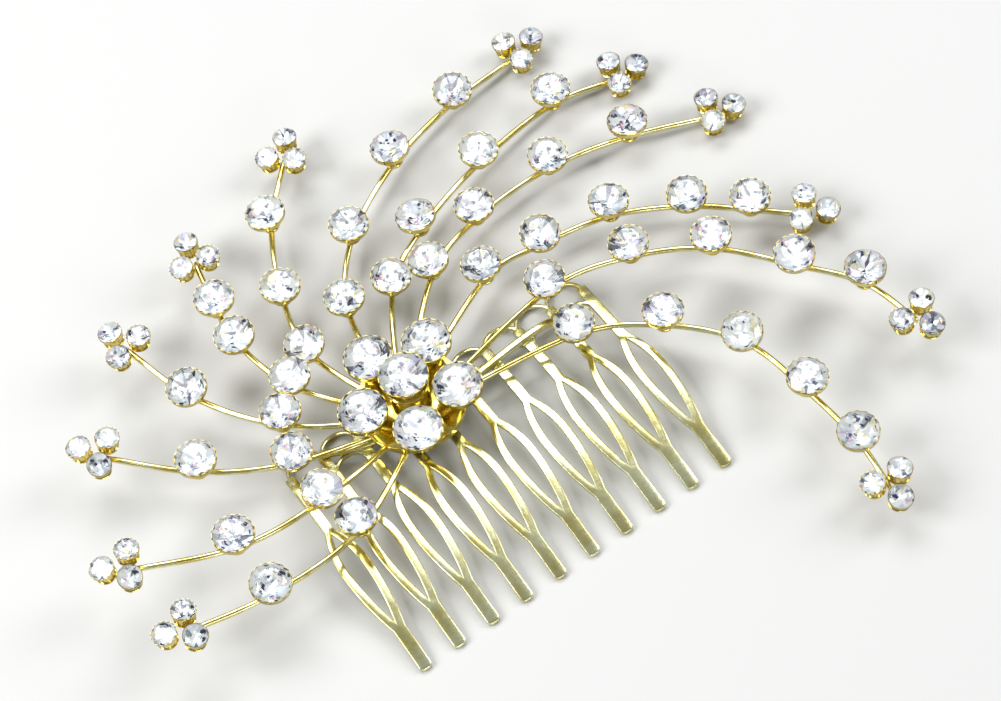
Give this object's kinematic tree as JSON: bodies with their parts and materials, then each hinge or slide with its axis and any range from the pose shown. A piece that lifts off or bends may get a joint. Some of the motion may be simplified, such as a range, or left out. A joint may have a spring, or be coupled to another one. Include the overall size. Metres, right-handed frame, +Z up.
{
  "type": "hair_comb",
  "caption": "Gold-plated hair comb with split tines, topped by a spray of curved wires set with round clear crystals that swirl out from a raised crystal flower.",
  "frame": {"origin": "middle of the whole piece's footprint, on the surface it lies on", "axes": "+X along the comb's back, +Y from the tine tips towards the back, +Z up through the stones"},
  "size_m": [0.0987, 0.0892, 0.0116],
  "materials": {
    "comb_gold": "pale gold plate, polished, soft at the stamped edges",
    "wire_gold": "pale gold plate on drawn wire, bright",
    "setting_gold": "gold plate on cast and pressed cups, bright rims and darker flutes",
    "crystal": "clear cut glass with a silver foil back"
  },
  "bodies": {
    "root": {"comb": "comb_gold", "mounting_strap": "wire_gold", "flower_plate": "setting_gold", "petal_settings": "setting_gold", "petal_crystals": "crystal", "centre_post": "setting_gold", "centre_setting": "setting_gold", "centre_crystal": "crystal", "ray_wire_01": "wire_gold", "ray_wire_02": "wire_gold", "ray_wire_03": "wire_gold", "ray_wire_04": "wire_gold", "ray_wire_05": "wire_gold", "ray_wire_06": "wire_gold", "ray_wire_07": "wire_gold", "ray_wire_08": "wire_gold", "ray_wire_09": "wire_gold", "ray_wire_10": "wire_gold", "ray_wire_11": "wire_gold", "ray_wire_12": "wire_gold", "ray_settings_01": "setting_gold", "ray_settings_02": "setting_gold", "ray_settings_03": "setting_gold", "ray_settings_04": "setting_gold", "ray_settings_05": "setting_gold", "ray_settings_06": "setting_gold", "ray_settings_07": "setting_gold", "ray_settings_08": "setting_gold", "ray_settings_09": "setting_gold", "ray_settings_10": "setting_gold", "ray_settings_11": "setting_gold", "ray_settings_12": "setting_gold", "ray_crystals_01": "crystal", "ray_crystals_02": "crystal", "ray_crystals_03": "crystal", "ray_crystals_04": "crystal", "ray_crystals_05": "crystal", "ray_crystals_06": "crystal", "ray_crystals_07": "crystal", "ray_crystals_08": "crystal", "ray_crystals_09": "crystal", "ray_crystals_10": "crystal", "ray_crystals_11": "crystal", "ray_crystals_12": "crystal", "tip_setting_01": "setting_gold", "tip_setting_02": "setting_gold", "tip_setting_03": "setting_gold", "tip_setting_04": "setting_gold", "tip_setting_05": "setting_gold", "tip_setting_06": "setting_gold", "tip_setting_07": "setting_gold", "tip_setting_08": "setting_gold", "tip_setting_09": "setting_gold", "tip_setting_10": "setting_gold", "tip_setting_11": "setting_gold", "tip_setting_12": "setting_gold", "tip_crystals": "crystal"}
  },
  "joints": []
}
